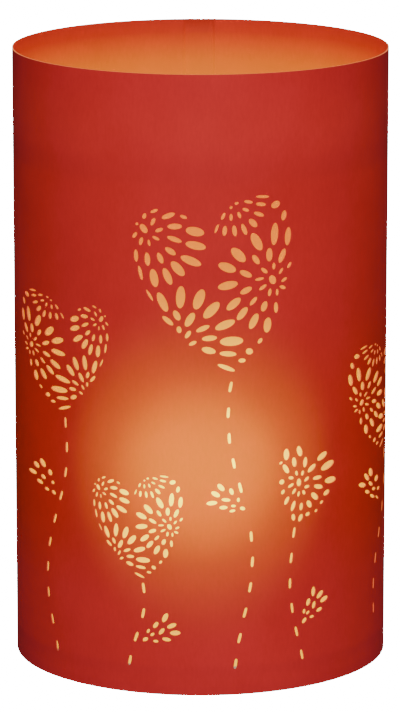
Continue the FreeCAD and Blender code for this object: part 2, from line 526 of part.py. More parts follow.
lug_a = box("housing_lug_slot", "4 mm", "3.4 mm", "3 mm", S("bay_half_long - 1"), "-1.7 mm", "8 mm")
pilots = [cyl("housing_pilot_%d" % i, S("screw_radius"), S("screw_high - flange_low"), S("flange_low"),
              "%d * Dims.screw_across" % sx, "%d * Dims.screw_deep" % sy)
          for i, (sx, sy) in enumerate(((1, 1), (-1, 1), (-1, -1), (1, -1)))]
tools = fuse("housing_tools", [hollow, shaft, throat, lamp_seat, wire_door, slot, lug_a] + pilots)
node(cut("housing_cut", outer, tools), "candle_housing")

# --- AAA cells ----------------------------------------------------------------
for label, side, turn in (("battery_left", "-Dims.cell_offset", 1), ("battery_right", "Dims.cell_offset", -1)):
    can = cyl(label + "_can", S("cell_radius"), S("cell_long"), S("cell_level"),
              "%d * -Dims.cell_long / 2" % 1, side)
    can.Placement.Rotation = Rotation(Vector(0, 1, 0), 90)
    nub = cyl(label + "_nub", S("nub_radius"), S("nub_long"), S("cell_level"),
              "Dims.cell_long / 2" if turn > 0 else "-Dims.cell_long / 2 - Dims.nub_long", side)
    nub.Placement.Rotation = Rotation(Vector(0, 1, 0), 90)
    node(fuse(label + "_fused", [can, nub]), label)

# --- contacts: coil springs take the flat ends, plates take the nubs ------------
thin, wall_x = D["contact_thick"], D["bay_half_long"]


def coil_contact(side, y):
    # flat tab against the bay wall with a coil that stops at the cell's flat end
    tab = Part.makeBox(thin, 8.0, 8.0, Vector(0, -4.0, -4.0))
    reach = wall_x - thin - D["cell_long"] / 2 - 0.1
    turns = 3
    helix = Part.makeHelix((reach - D["coil_wire"]) / turns, reach - D["coil_wire"], D["coil_radius"])
    profile = Part.Wire([Part.makeCircle(D["coil_wire"], Vector(D["coil_radius"], 0, 0), Vector(0, 1, 0))])
    pipe = Part.Wire(helix.Edges).makePipeShell([profile], True, True)
    if pipe.ShapeType != "Solid":
        pipe = Part.Solid(Part.Shell(pipe.Faces))
    if pipe.Volume < 0:
        pipe.reverse()
    pipe.rotate(Vector(0, 0, 0), Vector(0, 1, 0), 90)
    pipe.translate(Vector(thin * 0.6, 0, 0))
    one = tab.fuse(pipe)
    if side > 0:
        one.rotate(Vector(0, 0, 0), Vector(0, 0, 1), 180)
        one.translate(Vector(wall_x, y, D["cell_level"]))
    else:
        one.translate(Vector(-wall_x, y, D["cell_level"]))
    return one


raw("contact_springs", Part.makeCompound([coil_contact(-1, -D["cell_offset"]), coil_contact(1, D["cell_offset"])]))


def nub_contact(side, y):
    tab = Part.makeBox(thin, 8.0, 8.0, Vector(0, -4.0, -4.0))
    reach = wall_x - thin - D["cell_long"] / 2 - D["nub_long"]
    bump = Part.makeCylinder(1.4, reach - 0.05, Vector(thin, 0, 0), Vector(1, 0, 0))
    one = tab.fuse(bump)
    if side > 0:
        one.rotate(Vector(0, 0, 0), Vector(0, 0, 1), 180)
        one.translate(Vector(wall_x, y, D["cell_level"]))
    else:
        one.translate(Vector(-wall_x, y, D["cell_level"]))
    return one


raw("contact_plates", Part.makeCompound([nub_contact(1, -D["cell_offset"]), nub_contact(-1, D["cell_offset"])]))

# --- light unit -----------------------------------------------------------------
board = new_body("board_body")
sk = sketch(board, "board_outline", "XY_Plane", "ledge_high")
disc(sk, "board_radius")
pad(board, "board_pad", sk, "board_thick")
sk = sketch(board, "board_lead_holes", "XY_Plane", "ledge_high")
disc(sk, "0.5", "1.27", "0")
disc(sk, "0.5", "0 - 1.27", "0")
pocket(board, "board_lead_pocket", sk, "board_thick")
node(board, "circuit_board")

lamp = new_body("lamp_body")
sk = sketch(lamp, "lamp_profile", "XZ_Plane")
outline(sk, [("0", "ledge_high + board_thick"), ("led_flange", "ledge_high + board_thick"),
             ("led_flange", "ledge_high + board_thick + 1"), ("led_radius", "ledge_high + board_thick + 1"),
             ("led_radius", "ledge_high + board_thick + led_high - 2.4"),
             ("led_radius - 0.6", "ledge_high + board_thick + led_high - 0.9"),
             ("led_radius - 1.5", "ledge_high + board_thick + led_high - 0.2"),
             ("0", "ledge_high + board_thick + led_high")])
revolve(lamp, "lamp_turn", sk)
node(lamp, "led_bulb")

# --- switch -----------------------------------------------------------------------
case = box("switch_case", S("switch_long"), S("switch_wide"), S("switch_high"), "-Dims.switch_long / 2",
           "Dims.switch_deep - Dims.switch_wide / 2", S("flange_low + flange_thick"))
cave = box("switch_cave", "Dims.switch_travel + Dims.slider_long + 1", "Dims.slider_wide + 0.8", "3 mm",
           "-(Dims.switch_travel + Dims.slider_long + 1) / 2", "Dims.switch_deep - (Dims.slider_wide + 0.8) / 2",
           S("flange_low + flange_thick"))
node(cut("switch_cut", case, cave), "switch_body")
knob = box("slider_stem", S("slider_long"), S("slider_wide"), "Dims.flange_low + Dims.flange_thick + 2.5 - Dims.slider_low",
           "Dims.slider_rest - Dims.slider_long / 2", "Dims.switch_deep - Dims.slider_wide / 2", S("slider_low"))
node(knob, "switch_slider")

# --- fasteners and feet ---------------------------------------------------------------
screws, feet = [], []
for i, (sx, sy) in enumerate(((1, 1), (-1, 1), (-1, -1), (1, -1))):
    ax, ay = "%d * Dims.screw_across" % sx, "%d * Dims.screw_deep" % sy
    shank = cyl("screw_shank_%d" % i, "Dims.screw_radius", S("screw_high - cap_low - 0.8"), S("cap_low + 0.4"), ax, ay)
    head = cyl("screw_head_%d" % i, S("screw_head"), "1 mm", S("cap_low + 0.4"), ax, ay)
    cross_a = box("screw_cross_a%d" % i, "2.6 mm", "0.6 mm", "0.7 mm", ax + " - 1.3", ay + " - 0.3", S("cap_low + 0.4"))
    cross_b = box("screw_cross_b%d" % i, "0.6 mm", "2.6 mm", "0.7 mm", ax + " - 0.3", ay + " - 1.3", S("cap_low + 0.4"))
    whole = fuse("screw_whole_%d" % i, [shank, head])
    screws.append(cut("screw_%d" % i, whole, fuse("screw_cross_%d" % i, [cross_a, cross_b])))
    feet.append(cyl("foot_%d" % i, S("foot_radius"), S("cap_low"), "0 mm",
                    "%d * Dims.foot_across" % sx, "%d * Dims.foot_deep" % sy))
node(group("screw_group", screws), "base_screws")
node(group("feet_group", feet), "rubber_feet")

# --- wires, held along the tower, the bay roof and down to their tabs ---------------------


def wire(points, radius):
    path = [Vector(*p) for p in points]
    spline = Part.BSplineCurve()
    spline.interpolate(path)
    edge = spline.toShape()
    start = edge.firstVertex().Point
    tangent = edge.tangentAt(edge.FirstParameter)
    ring = Part.Wire([Part.makeCircle(radius, start, tangent)])
    pipe = Part.Wire([edge]).makePipeShell([ring], True, True)
    if pipe.ShapeType != "Solid":
        pipe = Part.Solid(Part.Shell(pipe.Faces))
    if pipe.Volume < 0:
        pipe.reverse()
    return pipe


wr = D["wire_radius"]
raw("wire_red", wire([(-3.5, 0, D["ledge_high"]), (-3.8, 0, 40.0), (-4.0, 0.2, 28.0), (-7.0, 0, 19.6), (-14.0, -3.0, 18.4),
                      (-16.5, -10.0, 17.9), (-12.5, -16.5, 17.2), (-7.0, -19.4, 15.6), (-5.1, -20.0, 13.4), (-5.0, -20.0, 11.55)], wr))
raw("wire_black", wire([(3.5, 0, D["ledge_high"]), (3.8, 0, 40.0), (4.0, 0.2, 28.0), (7.0, 0, 19.6), (14.0, 0.0, 18.2),
                        (23.0, 0, 18.0), (28.2, 0, 15.5), (29.0, 0, 11.5), (27.0, 0, 9.5)], wr))

doc.recompute()
for obj in doc.Objects:
    if any(bad in obj.State for bad in ("Invalid", "Error")):
        raise RuntimeError("%s is %s" % (obj.Name, obj.State))
os.makedirs("parts", exist_ok=True)
for obj in NODES:
    shape = obj.Shape
    if shape.isNull() or not shape.isValid() or not shape.Solids:
        raise RuntimeError(obj.Label + " has no valid solid")
    shape.exportStep("parts/%s.step" % obj.Label)
    print(obj.Label, len(shape.Solids), round(shape.Volume, 2))
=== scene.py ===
import bpy, math, random
from mathutils import Vector, Matrix
from mathutils.geometry import delaunay_2d_cdt


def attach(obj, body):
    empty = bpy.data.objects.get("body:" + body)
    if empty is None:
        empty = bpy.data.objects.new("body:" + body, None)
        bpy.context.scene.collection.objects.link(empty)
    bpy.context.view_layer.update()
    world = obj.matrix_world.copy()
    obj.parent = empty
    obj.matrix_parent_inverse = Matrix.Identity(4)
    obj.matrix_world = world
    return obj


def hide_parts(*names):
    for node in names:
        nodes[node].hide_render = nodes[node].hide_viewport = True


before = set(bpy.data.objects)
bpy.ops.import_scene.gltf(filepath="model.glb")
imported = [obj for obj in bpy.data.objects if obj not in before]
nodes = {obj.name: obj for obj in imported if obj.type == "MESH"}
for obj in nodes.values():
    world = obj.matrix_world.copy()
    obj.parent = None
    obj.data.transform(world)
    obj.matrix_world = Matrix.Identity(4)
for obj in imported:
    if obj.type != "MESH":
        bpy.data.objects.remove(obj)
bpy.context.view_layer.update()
random.seed(7)

R = 0.076            # outside of the card
T = 0.0005           # card thickness
H = 0.250            # height of the card
LIGHT_Z = 0.078      # middle of the flame

# ---------------------------------------------------------------- pattern
# petal: across, up, length, width (mm), tilt (degrees), from the motif's middle
BIG_HEART = [
    (19.8, 34.0, 5.6, 1.3, 176), (14.0, 32.2, 3.6, 1.4, 169), (9.2, 31.8, 1.7, 1.2, 15),
    (25.3, 30.5, 4.0, 2.9, 23), (19.1, 31.0, 4.3, 1.6, 171), (7.0, 30.2, 1.3, 1.2, 24),
    (12.9, 29.1, 2.9, 1.4, 159), (-23.4, 28.6, 3.4, 1.3, 24), (3.9, 26.8, 3.1, 1.4, 65),
    (10.3, 27.1, 2.8, 1.4, 112), (-17.7, 26.9, 5.7, 2.1, 22), (18.3, 27.1, 4.5, 1.7, 160),
    (28.9, 25.9, 4.2, 2.3, 78), (7.0, 26.3, 2.9, 1.4, 91), (-27.4, 26.4, 2.5, 1.6, 69),
    (-11.7, 26.6, 2.9, 1.5, 161), (-23.9, 24.3, 3.4, 1.6, 62), (15.9, 23.7, 4.5, 2.4, 136),
    (-15.2, 22.7, 5.9, 2.4, 3), (1.3, 21.9, 3.8, 1.1, 69), (12.3, 21.3, 4.8, 1.9, 113),
    (24.9, 18.8, 9.0, 3.2, 86), (-27.7, 21.4, 4.2, 2.7, 129), (4.5, 21.0, 4.1, 1.9, 85),
    (8.4, 20.9, 4.5, 1.9, 99), (-7.2, 20.8, 7.4, 3.7, 169), (-21.4, 21.1, 3.4, 1.6, 23),
    (30.7, 17.4, 7.4, 2.8, 85), (-31.4, 18.6, 2.9, 1.5, 52), (17.4, 16.1, 8.0, 3.7, 120),
    (-15.3, 17.6, 6.1, 2.1, 162), (-22.7, 17.8, 3.2, 1.4, 157), (-28.8, 16.3, 3.4, 1.7, 72),
    (-25.5, 15.8, 2.7, 1.2, 101), (-6.9, 15.2, 8.2, 3.3, 168), (-16.9, 12.8, 4.9, 2.4, 148),
    (10.0, 11.2, 7.7, 3.8, 135), (22.7, 10.6, 5.5, 2.8, 89), (-30.9, 10.4, 5.0, 1.9, 92),
    (28.2, 9.8, 6.1, 2.5, 67), (-21.0, 9.9, 4.6, 2.3, 113), (-26.2, 9.2, 5.4, 2.4, 95),
    (-8.8, 9.1, 8.7, 3.3, 158), (17.1, 9.0, 4.6, 2.3, 126), (-14.0, 5.9, 7.4, 3.6, 132),
    (5.5, 6.3, 7.5, 3.6, 158), (24.6, 5.9, 2.8, 1.5, 89), (31.4, 5.8, 2.8, 1.4, 57),
    (-29.1, 3.6, 5.9, 1.6, 104), (-18.1, 2.7, 7.2, 3.0, 114), (20.6, 4.4, 3.4, 1.6, 141),
    (-23.5, 1.8, 7.4, 3.4, 101), (13.0, 3.5, 5.5, 2.4, 154), (27.7, 3.7, 2.9, 1.3, 55),
    (24.1, 0.5, 3.9, 2.9, 118), (18.6, 1.1, 3.8, 1.3, 7), (5.8, -0.9, 8.1, 3.4, 11),
    (29.1, 0.1, 2.9, 1.4, 30), (-12.9, -5.5, 9.1, 3.7, 86), (20.0, -2.3, 3.7, 1.5, 32),
    (13.1, -3.2, 5.2, 2.5, 24), (-5.6, -6.3, 8.6, 4.0, 69), (28.5, -2.9, 2.9, 1.5, 159),
    (22.9, -4.5, 3.2, 1.6, 81), (-25.3, -5.2, 5.2, 1.2, 122), (26.1, -4.7, 2.8, 1.3, 91),
    (-20.1, -7.7, 8.4, 3.4, 115), (8.1, -8.4, 7.0, 3.2, 40), (16.1, -7.6, 4.2, 1.8, 49),
    (-0.7, -10.7, 8.6, 3.9, 46), (20.6, -10.0, 4.3, 2.6, 69), (25.6, -10.8, 4.4, 1.9, 92),
    (11.6, -12.4, 6.3, 2.8, 51), (-14.4, -12.9, 4.4, 2.6, 119), (-9.2, -14.5, 6.4, 3.0, 60),
    (16.3, -15.7, 6.8, 3.1, 63), (-18.0, -15.1, 5.5, 2.1, 142), (4.7, -16.7, 8.4, 3.3, 21),
    (22.0, -17.6, 6.2, 3.3, 83), (-4.1, -18.1, 5.8, 2.1, 24), (-13.5, -18.6, 2.8, 2.0, 97),
    (-10.0, -20.5, 3.6, 1.7, 56), (-1.5, -22.0, 6.0, 2.3, 5), (7.3, -23.4, 9.4, 3.8, 1),
    (18.9, -23.8, 2.6, 1.7, 50), (-8.1, -24.0, 3.3, 1.6, 26), (-1.8, -26.9, 5.7, 2.7, 166),
    (14.5, -27.8, 3.1, 2.6, 159), (5.9, -28.4, 6.8, 2.2, 175), (11.5, -31.3, 3.0, 1.8, 177),
    (5.2, -34.0, 7.4, 1.8, 158), (-30.5, 23.1, 1.4, 1.2, 20),
]
SMALL_HEART = [
    (-8.3, 7.4, 4.5, 2.5, 110), (-14.2, 6.8, 4.7, 2.7, 92), (2.8, 3.9, 5.6, 2.7, 26),
    (-10.7, 3.3, 4.0, 2.2, 100), (-5.6, 2.6, 4.3, 2.1, 84), (-14.4, 1.0, 4.4, 2.1, 124),
    (5.7, -0.3, 7.3, 3.1, 18), (-2.4, -0.2, 4.7, 2.2, 35), (-9.6, -1.3, 2.1, 1.4, 111),
    (-6.8, -1.6, 2.1, 1.5, 72), (-12.1, -2.9, 2.5, 1.4, 165), (-16.2, -4.1, 2.4, 2.1, 179),
    (-4.9, -4.3, 2.7, 1.4, 35), (-8.5, -5.2, 3.2, 2.2, 92), (0.4, -4.5, 4.6, 1.7, 1),
    (-12.2, -6.0, 2.8, 1.4, 26), (7.3, -6.5, 6.1, 2.7, 179), (-4.7, -7.4, 2.6, 1.4, 3),
    (1.0, -8.2, 4.8, 1.9, 165), (-15.7, -8.2, 2.1, 1.6, 53), (-10.7, -8.5, 2.7, 1.4, 54),
    (-8.6, -9.8, 2.2, 1.3, 77), (-6.2, -9.5, 2.1, 1.5, 127), (-0.9, -11.8, 4.4, 2.3, 140),
    (5.2, -11.3, 3.4, 2.1, 22), (-14.0, -11.9, 3.6, 1.8, 60), (-11.1, -14.4, 4.3, 1.8, 70),
    (-3.6, -14.6, 3.5, 2.2, 126), (-7.4, -15.1, 3.2, 1.8, 83), (2.6, -14.8, 1.9, 1.3, 29),
    (-11.0, -19.0, 2.9, 1.9, 101), (-4.3, -18.6, 2.3, 1.7, 17), (-7.7, -19.6, 3.3, 2.0, 61),
    (-16.6, 3.6, 1.6, 1.2, 30), (-0.2, -17.8, 1.6, 1.2, 30),
]
LEAF_A = [
    (8.1, 85.4, 3.7, 2.0, 132), (6.0, 82.7, 3.8, 2.0, 150), (4.5, 79.1, 4.3, 1.8, 5),
    (12.3, 83.6, 2.9, 1.7, 112), (10.1, 80.3, 3.6, 1.5, 173), (9.1, 77.2, 3.3, 1.6, 180),
    (15.1, 80.1, 1.8, 1.3, 93), (13.1, 77.7, 2.0, 1.1, 174), (12.7, 75.7, 2.4, 1.2, 7),
    (16.8, 76.5, 2.3, 1.5, 160),
]
LEAF_B = [
    (-75.0, 87.2, 4.9, 2.8, 156), (-80.1, 85.4, 4.9, 2.3, 171), (-83.6, 81.9, 7.4, 1.9, 0),
    (-69.7, 84.3, 3.0, 2.5, 170), (-74.6, 81.5, 3.6, 1.8, 173), (-77.3, 79.0, 5.0, 1.7, 175),
    (-67.9, 80.5, 2.1, 1.5, 5), (-72.0, 77.0, 3.2, 1.4, 179), (-67.3, 76.5, 2.8, 1.6, 166),
]
LEAF_C = [
    (-14.2, 31.8, 4.2, 2.0, 63), (-18.0, 28.6, 3.2, 1.7, 53), (-11.5, 28.6, 4.1, 1.9, 25),
    (-15.6, 26.1, 3.4, 1.6, 52), (-10.1, 25.7, 4.3, 2.1, 5), (-21.1, 25.9, 2.1, 1.2, 60),
    (-19.4, 24.6, 2.1, 1.2, 38), (-22.3, 22.4, 2.6, 1.6, 30), (-13.6, 22.9, 3.6, 1.7, 173),
    (-18.0, 21.9, 2.2, 1.3, 1),
]
LEAF_D = [
    (48.4, 38.9, 4.1, 2.1, 87), (51.8, 37.1, 4.2, 2.2, 40), (54.0, 34.8, 4.3, 2.2, 21),
    (45.9, 34.9, 3.2, 2.1, 69), (48.7, 33.3, 3.2, 1.9, 72), (51.5, 30.9, 3.2, 1.7, 14),
    (43.9, 31.4, 2.1, 1.5, 92), (45.7, 30.6, 2.0, 1.4, 32), (47.7, 28.6, 2.3, 1.3, 0),
    (44.0, 27.6, 2.8, 1.8, 43),
]
LEAF_E = [
    (86.1, 80.9, 4.6, 3.2, 145), (82.3, 79.7, 5.5, 2.2, 144), (92.7, 76.9, 4.5, 2.6, 2),
    (78.5, 77.2, 6.1, 2.0, 166), (86.2, 76.1, 4.5, 1.7, 156), (83.0, 73.4, 4.5, 1.6, 163),
    (89.6, 73.2, 3.9, 1.5, 171), (95.4, 72.1, 3.6, 1.5, 179), (88.1, 70.5, 5.5, 1.4, 159),
    (93.8, 68.7, 4.1, 1.1, 153),
]
STEM_A = [(11.9, 126.0, 79), (11.0, 115.6, 86), (11.4, 105.2, 93), (13.2, 95.0, 101),
          (15.9, 85.0, 104), (18.7, 74.9, 101), (20.4, 64.8, 94), (20.9, 54.4, 86),
          (20.0, 44.0, 80), (17.9, 33.7, 75), (15.7, 23.3, 77), (14.1, 12.8, 82)]
STEM_B = [(-59.8, 106.6, 93), (-59.1, 96.6, 89), (-59.9, 86.2, 78), (-62.7, 76.1, 68),
          (-66.6, 65.9, 69), (-70.1, 55.6, 73), (-71.7, 45.0, 84), (-71.4, 34.3, 96),
          (-68.8, 23.6, 104), (-65.7, 13.0, 100)]
STEM_C = [(-23.0, 43.5, 97), (-23.2, 33.1, 78), (-26.2, 23.1, 70), (-28.9, 13.1, 79)]
STEM_D = [(38.9, 64.6, 81), (37.7, 54.3, 83), (37.2, 43.9, 89), (38.2, 33.6, 98),
          (40.3, 23.6, 104), (42.9, 13.6, 103)]
STEM_E = [(106.0, 84.5, 92), (106.0, 73.5, 85), (102.4, 63.0, 74), (96.9, 53.3, 68),
          (92.2, 43.6, 74), (90.0, 33.4, 86), (90.3, 23.0, 94)]
DASH = (4.3, 1.3)
FRONT = [
    (BIG_HEART, 5.0, 167.6, 0.995, 0.0, False, (1.0, 1.0), STEM_A, LEAF_A),
    (BIG_HEART, -57.9, 135.4, 0.665, 5.0, True, (1.62, 0.98), STEM_B, LEAF_B),
    (BIG_HEART, -27.4, 69.3, 0.607, -1.5, False, (0.94, 1.03), STEM_C, LEAF_C),
    (SMALL_HEART, 49.7, 90.1, 1.01, 0.0, False, (1.0, 1.0), STEM_D, LEAF_D),
    (BIG_HEART, 102.5, 112.6, 0.66, 5.0, True, (1.58, 1.35), STEM_E, LEAF_E),
]
# more flowers round the back: which one, how far round and how far up it is moved
REPEATS = [(0, 146.0, -8.0), (3, 146.0, 10.0), (2, 162.0, 6.0),
           (0, -157.0, -4.0), (2, -155.0, 0.0), (1, -150.0, 0.0)]


def place_petals(motif, across, up, scale, turn, mirrored, wide):
    # the hearts at the sides are drawn wider on one lobe: wide is (left, right)
    ca, sa = math.cos(math.radians(turn)), math.sin(math.radians(turn))
    placed = []
    for a, u, length, width, tilt in motif:
        if mirrored:
            a, tilt = -a, 180.0 - tilt
        x, z = scale * (a * ca - u * sa), scale * (a * sa + u * ca)
        k = wide[0] if x < 0 else wide[1]
        t = math.radians(tilt + turn)
        # the petal's own ellipse, stretched sideways by k
        l2, w2 = (scale * length) ** 2, (scale * width) ** 2
        p = k * k * (l2 * math.cos(t) ** 2 + w2 * math.sin(t) ** 2)
        q = k * (l2 - w2) * math.sin(t) * math.cos(t)
        r = l2 * math.sin(t) ** 2 + w2 * math.cos(t) ** 2
        m, d = (p + r) / 2, math.hypot((p - r) / 2, q)
        placed.append((across + k * x, up + z, math.sqrt(m + d), math.sqrt(max(m - d, 1e-6)),
                       math.degrees(0.5 * math.atan2(2 * q, p - r))))
    return placed


def all_cuts():
    cuts = []
    flowers = [(f, f[6], 0.0, 0.0) for f in FRONT] + [(FRONT[i], (1.0, 1.0), dx, dz) for i, dx, dz in REPEATS]
    for (motif, across, up, scale, turn, mirrored, _, stem, leaf), wide, dx, dz in flowers:
        cuts += [p + (0,) for p in place_petals(motif, across + dx, up + dz, scale, turn, mirrored, wide)]
        cuts += [(a + dx, u + dz, length, width, tilt, 0) for a, u, length, width, tilt in leaf]
        cuts += [(a + dx, u + dz, DASH[0], DASH[1], tilt, 1) for a, u, tilt in stem if u + dz > 9.0]
        low = min(u for a, u, tilt in stem) + dz
        if low > 20.8 and (dx or dz):
            a, u, tilt = min(stem, key=lambda d: d[1])
            while low > 20.8:
                low -= 10.3
                cuts.append((a + dx, low, DASH[0], DASH[1], 90.0, 1))
    return cuts


# ---------------------------------------------------------------- card sleeve
def wrap(u, z, r):
    a = u / R
    return Vector((r * math.sin(a), -r * math.cos(a), z))


def outline_of(cut):
    a, u, length, width, tilt, dash = cut
    ca, sa = math.cos(math.radians(tilt)), math.sin(math.radians(tilt))
    n = 20 if length > 6 else (16 if length > 3.4 else 12)
    pts = []
    for k in range(n):
        t = 2 * math.pi * k / n
        # petals are ellipses with slightly sharper tips; dashes have square shoulders
        c, s = math.cos(t), math.sin(t)
        e = 0.62 if dash else 1.0
        x = 0.5 * length * math.copysign(abs(c) ** e, c)
        y = 0.5 * width * math.copysign(abs(s) ** e, s)
        pts.append(((a + x * ca - y * sa) * 1e-3, (u + x * sa + y * ca) * 1e-3))
    return pts


def build_sleeve():
    half = math.pi * R
    left, right = -half, half - 0.0003
    cuts = all_cuts()
    verts, loops = [], []
    taken = {}
    holes = []
    for c in cuts:
        p = outline_of(c)
        if min(x for x, y in p) < left + 0.011 or max(x for x, y in p) > right - 0.011:
            continue
        holes.append((c, p))
    # keep bridges: a cut whose centre falls inside an earlier one is dropped
    kept = []
    for c, p in holes:
        ok = True
        for c2, p2 in kept:
            d = math.hypot(c[0] - c2[0], c[1] - c2[1])
            if d < 10.0:
                gap = min(math.hypot(a[0] - b[0], a[1] - b[1]) for a in p for b in p2)
                inside = ((c[0] - c2[0]) ** 2 + (c[1] - c2[1]) ** 2) ** 0.5 < 0.25 * (c[3] + c2[3])
                if inside or gap < 0.00022:
                    ok = False
                    break
        if ok:
            kept.append((c, p))
    cells = {}
    for c, p in kept:
        for x, y in p:
            cells[(int(x / 0.0008), int(y / 0.0008))] = True
    coords = []
    edges = []
    nu = 240
    nz = 84
    edge_ids = []
    us = [left + (right - left) * i / nu for i in range(nu + 1)]
    zs = [H * j / nz for j in range(nz + 1)]
    grid = {}
    for j, z in enumerate(zs):
        for i, u in enumerate(us):
            border = i in (0, nu) or j in (0, nz)
            key = (int(u / 0.0008), int(z / 0.0008))
            if not border:
                near = any((key[0] + a, key[1] + b) in cells for a in (-1, 0, 1) for b in (-1, 0, 1))
                if near:
                    continue
            grid[(i, j)] = len(coords)
            coords.append(Vector((u, z)))
    for i in range(nu):
        edges.append((grid[(i, 0)], grid[(i + 1, 0)]))
        edges.append((grid[(i, nz)], grid[(i + 1, nz)]))
    for j in range(nz):
        edges.append((grid[(0, j)], grid[(0, j + 1)]))
        edges.append((grid[(nu, j)], grid[(nu, j + 1)]))
    centres = []
    for c, p in kept:
        first = len(coords)
        for x, y in p:
            coords.append(Vector((x, y)))
        n = len(p)
        for k in range(n):
            edges.append((first + k, first + (k + 1) % n))
        centres.append((c, p))
    vs, es, fs, ov, oe, of_ = delaunay_2d_cdt(coords, edges, [], 0, 1e-7)
    bucket = {}
    for c, p in centres:
        key = (int(c[0] // 6), int(c[1] // 6))
        bucket.setdefault(key, []).append(c)

    def in_hole(x, y):
        x, y = x * 1000, y * 1000
        bx, by = int(x // 6), int(y // 6)
        for i in (-1, 0, 1):
            for j in (-1, 0, 1):
                for a, u, length, width, tilt, dash in bucket.get((bx + i, by + j), ()):
                    ca, sa = math.cos(math.radians(tilt)), math.sin(math.radians(tilt))
                    dx, dy = x - a, y - u
                    px, py = (dx * ca + dy * sa) / (0.5 * length), (-dx * sa + dy * ca) / (0.5 * width)
                    e = 2.0 if not dash else 3.2
                    if abs(px) ** e + abs(py) ** e < 1.0:
                        return True
        return False

    keep = []
    for f in fs:
        cx = sum(vs[i].x for i in f) / len(f)
        cy = sum(vs[i].y for i in f) / len(f)
        if not in_hole(cx, cy):
            keep.append(f)
    # the two layers and every cut edge
    n = len(vs)
    me_v = [wrap(v.x, v.y, R) for v in vs] + [wrap(v.x, v.y, R - T) for v in vs]
    faces, mats = [], []
    count = {}
    for f in keep:
        a2 = sum(vs[f[k]].x * vs[f[(k + 1) % len(f)]].y - vs[f[(k + 1) % len(f)]].x * vs[f[k]].y for k in range(len(f)))
        f = list(f) if a2 > 0 else list(reversed(f))
        faces.append(tuple(f)); mats.append(0)
        faces.append(tuple(n + i for i in reversed(f))); mats.append(1)
        for k in range(len(f)):
            e = (f[k], f[(k + 1) % len(f)])
            count[e] = count.get(e, 0) + 1
    for (a, b) in list(count):
        if (b, a) not in count:
            faces.append((b, a, n + a, n + b)); mats.append(2)
    me = bpy.data.meshes.new("card_sleeve")
    me.from_pydata([tuple(v) for v in me_v], [], faces)
    for i, m in enumerate(mats):
        me.polygons[i].material_index = m
        me.polygons[i].use_smooth = m != 2
    me.update()
    ob = bpy.data.objects.new("card_sleeve", me)
    bpy.context.scene.collection.objects.link(ob)
    # drop vertices left inside the holes
    import bmesh
    bm = bmesh.new()
    bm.from_mesh(me)
    loose = [v for v in bm.verts if not v.link_faces]
    bmesh.ops.delete(bm, geom=loose, context="VERTS")
    for e in bm.edges:
        if len(e.link_faces) == 2 and e.link_faces[0].material_index != e.link_faces[1].material_index:
            e.smooth = False
    bm.to_mesh(me)
    bm.free()
    me.update()
    return ob, kept


def tube_strip(name, r_in, r_out, low, high, a0, a1, nu, nz=1):
    """part of a tube between two angles (degrees from -Y towards +X)"""
    vs, fs = [], []
    for j in range(nz + 1):
        z = low + (high - low) * j / nz
        for i in range(nu + 1):
            a = math.radians(a0 + (a1 - a0) * i / nu)
            for r in (r_in, r_out):
                vs.append((r * math.sin(a), -r * math.cos(a), z))

    def idx(i, j, o):
        return (j * (nu + 1) + i) * 2 + o
    for j in range(nz):
        for i in range(nu):
            fs.append((idx(i, j, 1), idx(i + 1, j, 1), idx(i + 1, j + 1, 1), idx(i, j + 1, 1)))
            fs.append((idx(i, j, 0), idx(i, j + 1, 0), idx(i + 1, j + 1, 0), idx(i + 1, j, 0)))
    for i in range(nu):
        fs.append((idx(i, 0, 0), idx(i + 1, 0, 0), idx(i + 1, 0, 1), idx(i, 0, 1)))
        fs.append((idx(i, nz, 0), idx(i, nz, 1), idx(i + 1, nz, 1), idx(i + 1, nz, 0)))
    for j in range(nz):
        fs.append((idx(0, j, 0), idx(0, j, 1), idx(0, j + 1, 1), idx(0, j + 1, 0)))
        fs.append((idx(nu, j, 0), idx(nu, j + 1, 0), idx(nu, j + 1, 1), idx(nu, j, 1)))
    me = bpy.data.meshes.new(name)
    me.from_pydata(vs, [], fs)
    for p in me.polygons:
        p.use_smooth = abs(p.normal.z) < 0.5
    me.update()
    ob = bpy.data.objects.new(name, me)
    bpy.context.scene.collection.objects.link(ob)
    return ob


